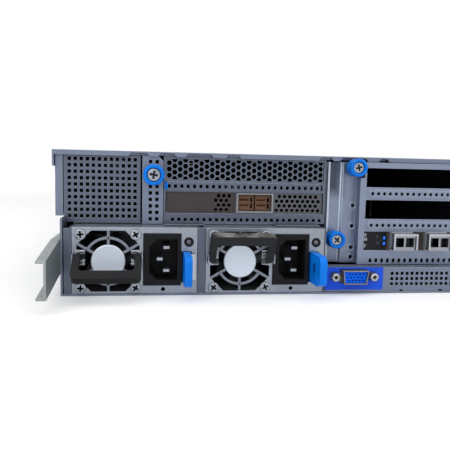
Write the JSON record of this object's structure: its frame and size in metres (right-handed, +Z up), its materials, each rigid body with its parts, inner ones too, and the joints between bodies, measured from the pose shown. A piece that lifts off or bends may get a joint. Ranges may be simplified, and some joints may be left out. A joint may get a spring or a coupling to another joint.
{
  "type": "2u rack server",
  "caption": "Rack server with perforated rear panels, twin slide-out power supplies with fans and handles, expansion slots, sliding cover, drive carriers and side rails.",
  "frame": {"origin": "centre of the underside of the chassis floor", "axes": "+X to the right as seen from the rear, +Y from the rear to the front, +Z up"},
  "size_m": [0.4826, 0.8055, 0.0861],
  "materials": {
    "sheet_steel": "satin blue-grey coating",
    "zinc_steel": "zinc-plated sheet",
    "guard_steel": "satin cast guard",
    "rail_steel": "galvanised",
    "card_bracket": "dark matt coating",
    "network_bracket": "nickel-plated cages on a dark plate",
    "connector_copper": "brown moulding with copper contacts",
    "black_plastic": "fine grain",
    "fan_plastic": "smooth",
    "azure_plastic": "smooth",
    "vga_blue": "smooth",
    "connector_metal": "nickel-plated",
    "board_green": "solder resist",
    "heat_sink": "extruded",
    "button_grey": "smooth"
  },
  "bodies": {
    "chassis": {"chassis_pan": "sheet_steel", "front_cover": "sheet_steel", "mounting_ears": "sheet_steel", "rack_rails": "rail_steel", "left_vent_plate": "sheet_steel", "module_bracket": "sheet_steel", "middle_module": "sheet_steel", "hex_blank_panel": "sheet_steel", "expansion_card": "card_bracket", "card_connectors": "connector_copper", "middle_riser": "sheet_steel", "right_riser": "sheet_steel", "slot_blanks": "sheet_steel", "network_card": "network_bracket", "io_strip": "sheet_steel", "vga_plate": "vga_blue", "vga_connector": "connector_metal", "io_ports": "zinc_steel", "psu_bay": "zinc_steel", "power_board": "board_green", "drive_cage": "sheet_steel", "bay_blanks": "black_plastic", "backplane": "board_green", "fan_frames": "black_plastic", "fan_bracket": "sheet_steel", "motherboard": "board_green", "memory_modules": "board_green", "cpu_heatsinks": "heat_sink", "air_duct": "black_plastic"},
    "top_cover": {"top_cover": "sheet_steel"},
    "cover_latch": {"cover_latch": "zinc_steel"},
    "power_button": {"power_button": "button_grey"},
    "psu_1": {"psu_1_case": "zinc_steel", "psu_1_grille": "guard_steel", "psu_1_inlet": "black_plastic"},
    "psu_1_handle": {"psu_1_handle": "black_plastic"},
    "psu_1_latch": {"psu_1_latch": "azure_plastic"},
    "psu_1_rotor": {"psu_1_rotor": "black_plastic"},
    "psu_2": {"psu_2_case": "zinc_steel", "psu_2_grille": "guard_steel", "psu_2_inlet": "black_plastic"},
    "psu_2_handle": {"psu_2_handle": "black_plastic"},
    "psu_2_latch": {"psu_2_latch": "azure_plastic"},
    "psu_2_rotor": {"psu_2_rotor": "black_plastic"},
    "transceiver_1": {"transceiver_1": "connector_metal"},
    "bail_1": {"bail_1": "connector_metal"},
    "transceiver_2": {"transceiver_2": "connector_metal"},
    "bail_2": {"bail_2": "connector_metal"},
    "thumbscrew_1": {"thumbscrew_1": "azure_plastic"},
    "thumbscrew_2": {"thumbscrew_2": "azure_plastic"},
    "thumbscrew_3": {"thumbscrew_3": "azure_plastic"},
    "thumbscrew_4": {"thumbscrew_4": "azure_plastic"},
    "drive_1": {"drive_1_carrier": "black_plastic"},
    "drive_1_lever": {"drive_1_lever": "black_plastic"},
    "drive_2": {"drive_2_carrier": "black_plastic"},
    "drive_2_lever": {"drive_2_lever": "black_plastic"},
    "fan_rotor_1": {"fan_rotor_1": "fan_plastic"},
    "fan_rotor_2": {"fan_rotor_2": "fan_plastic"},
    "fan_rotor_3": {"fan_rotor_3": "fan_plastic"},
    "fan_rotor_4": {"fan_rotor_4": "fan_plastic"}
  },
  "joints": [
    {"name": "cover_slide", "type": "slide", "parent": "chassis", "child": "top_cover", "axis": [0, -1, 0], "range_m": [0, 0.012]},
    {"name": "cover_latch_hinge", "type": "hinge", "parent": "top_cover", "child": "cover_latch", "pos_m": [0, 0.1085, 0.084], "axis": [-1, 0, 0], "range_deg": [0, 70]},
    {"name": "power_button_press", "type": "slide", "parent": "chassis", "child": "power_button", "axis": [0, -1, 0], "range_m": [0, 0.0012], "stiffness_N_per_m": 400},
    {"name": "psu_1_slide", "type": "slide", "parent": "chassis", "child": "psu_1", "axis": [0, -1, 0], "range_m": [0, 0.16]},
    {"name": "psu_1_handle_hinge", "type": "hinge", "parent": "psu_1", "child": "psu_1_handle", "pos_m": [-0.1893, -0.3869, 0.0231], "axis": [1, 0, 0], "range_deg": [-103, 37]},
    {"name": "psu_1_latch_hinge", "type": "hinge", "parent": "psu_1", "child": "psu_1_latch", "pos_m": [-0.14305, -0.378, 0.0173], "axis": [0, 0, 1], "range_deg": [-8, 0], "stiffness_Nm_per_rad": 0.2},
    {"name": "psu_1_fan_spin", "type": "hinge", "parent": "psu_1", "child": "psu_1_rotor", "pos_m": [-0.1893, -0.3729, 0.0208], "axis": [0, 1, 0], "continuous": true},
    {"name": "psu_2_slide", "type": "slide", "parent": "chassis", "child": "psu_2", "axis": [0, -1, 0], "range_m": [0, 0.16]},
    {"name": "psu_2_handle_hinge", "type": "hinge", "parent": "psu_2", "child": "psu_2_handle", "pos_m": [-0.1105, -0.3869, 0.0231], "axis": [1, 0, 0], "range_deg": [-12, 128]},
    {"name": "psu_2_latch_hinge", "type": "hinge", "parent": "psu_2", "child": "psu_2_latch", "pos_m": [-0.06425, -0.378, 0.0173], "axis": [0, 0, 1], "range_deg": [-8, 0], "stiffness_Nm_per_rad": 0.2},
    {"name": "psu_2_fan_spin", "type": "hinge", "parent": "psu_2", "child": "psu_2_rotor", "pos_m": [-0.1105, -0.3729, 0.0208], "axis": [0, 1, 0], "continuous": true},
    {"name": "transceiver_1_slide", "type": "slide", "parent": "chassis", "child": "transceiver_1", "axis": [0, -1, 0], "range_m": [0, 0.045]},
    {"name": "bail_1_hinge", "type": "hinge", "parent": "transceiver_1", "child": "bail_1", "pos_m": [-0.0037, -0.3783, 0.02821], "axis": [1, 0, 0], "range_deg": [0, 90]},
    {"name": "transceiver_2_slide", "type": "slide", "parent": "chassis", "child": "transceiver_2", "axis": [0, -1, 0], "range_m": [0, 0.045]},
    {"name": "bail_2_hinge", "type": "hinge", "parent": "transceiver_2", "child": "bail_2", "pos_m": [0.0199, -0.3783, 0.02821], "axis": [1, 0, 0], "range_deg": [0, 90]},
    {"name": "thumbscrew_1_turn", "type": "hinge", "parent": "chassis", "child": "thumbscrew_1", "pos_m": [-0.163, -0.3658, 0.0721], "axis": [0, 1, 0], "continuous": true},
    {"name": "thumbscrew_2_turn", "type": "hinge", "parent": "chassis", "child": "thumbscrew_2", "pos_m": [-0.04665, -0.3645, 0.033], "axis": [0, 1, 0], "continuous": true},
    {"name": "thumbscrew_3_turn", "type": "hinge", "parent": "chassis", "child": "thumbscrew_3", "pos_m": [-0.0351, -0.3665, 0.0792], "axis": [0, 1, 0], "continuous": true},
    {"name": "thumbscrew_4_turn", "type": "hinge", "parent": "chassis", "child": "thumbscrew_4", "pos_m": [0.2107, -0.3735, 0.06294], "axis": [0, 1, 0], "continuous": true},
    {"name": "drive_1_slide", "type": "slide", "parent": "chassis", "child": "drive_1", "axis": [0, 1, 0], "range_m": [0, 0.15]},
    {"name": "drive_1_lever_hinge", "type": "hinge", "parent": "drive_1", "child": "drive_1_lever", "pos_m": [-0.11085, 0.3783, 0.01568], "axis": [0, 0, -1], "range_deg": [0, 80]},
    {"name": "drive_2_slide", "type": "slide", "parent": "chassis", "child": "drive_2", "axis": [0, 1, 0], "range_m": [0, 0.15]},
    {"name": "drive_2_lever_hinge", "type": "hinge", "parent": "drive_2", "child": "drive_2_lever", "pos_m": [-0.0038, 0.3783, 0.01568], "axis": [0, 0, -1], "range_deg": [0, 80]},
    {"name": "fan_1_spin", "type": "hinge", "parent": "chassis", "child": "fan_rotor_1", "pos_m": [-0.156, 0.137, 0.0425], "axis": [0, 1, 0], "continuous": true},
    {"name": "fan_2_spin", "type": "hinge", "parent": "chassis", "child": "fan_rotor_2", "pos_m": [-0.052, 0.137, 0.0425], "axis": [0, 1, 0], "continuous": true},
    {"name": "fan_3_spin", "type": "hinge", "parent": "chassis", "child": "fan_rotor_3", "pos_m": [0.052, 0.137, 0.0425], "axis": [0, 1, 0], "continuous": true},
    {"name": "fan_4_spin", "type": "hinge", "parent": "chassis", "child": "fan_rotor_4", "pos_m": [0.156, 0.137, 0.0425], "axis": [0, 1, 0], "continuous": true}
  ],
  "couplings": [
    {"joint": "cover_latch_hinge", "follows": "cover_slide", "rad_per_m": 101.8}
  ]
}
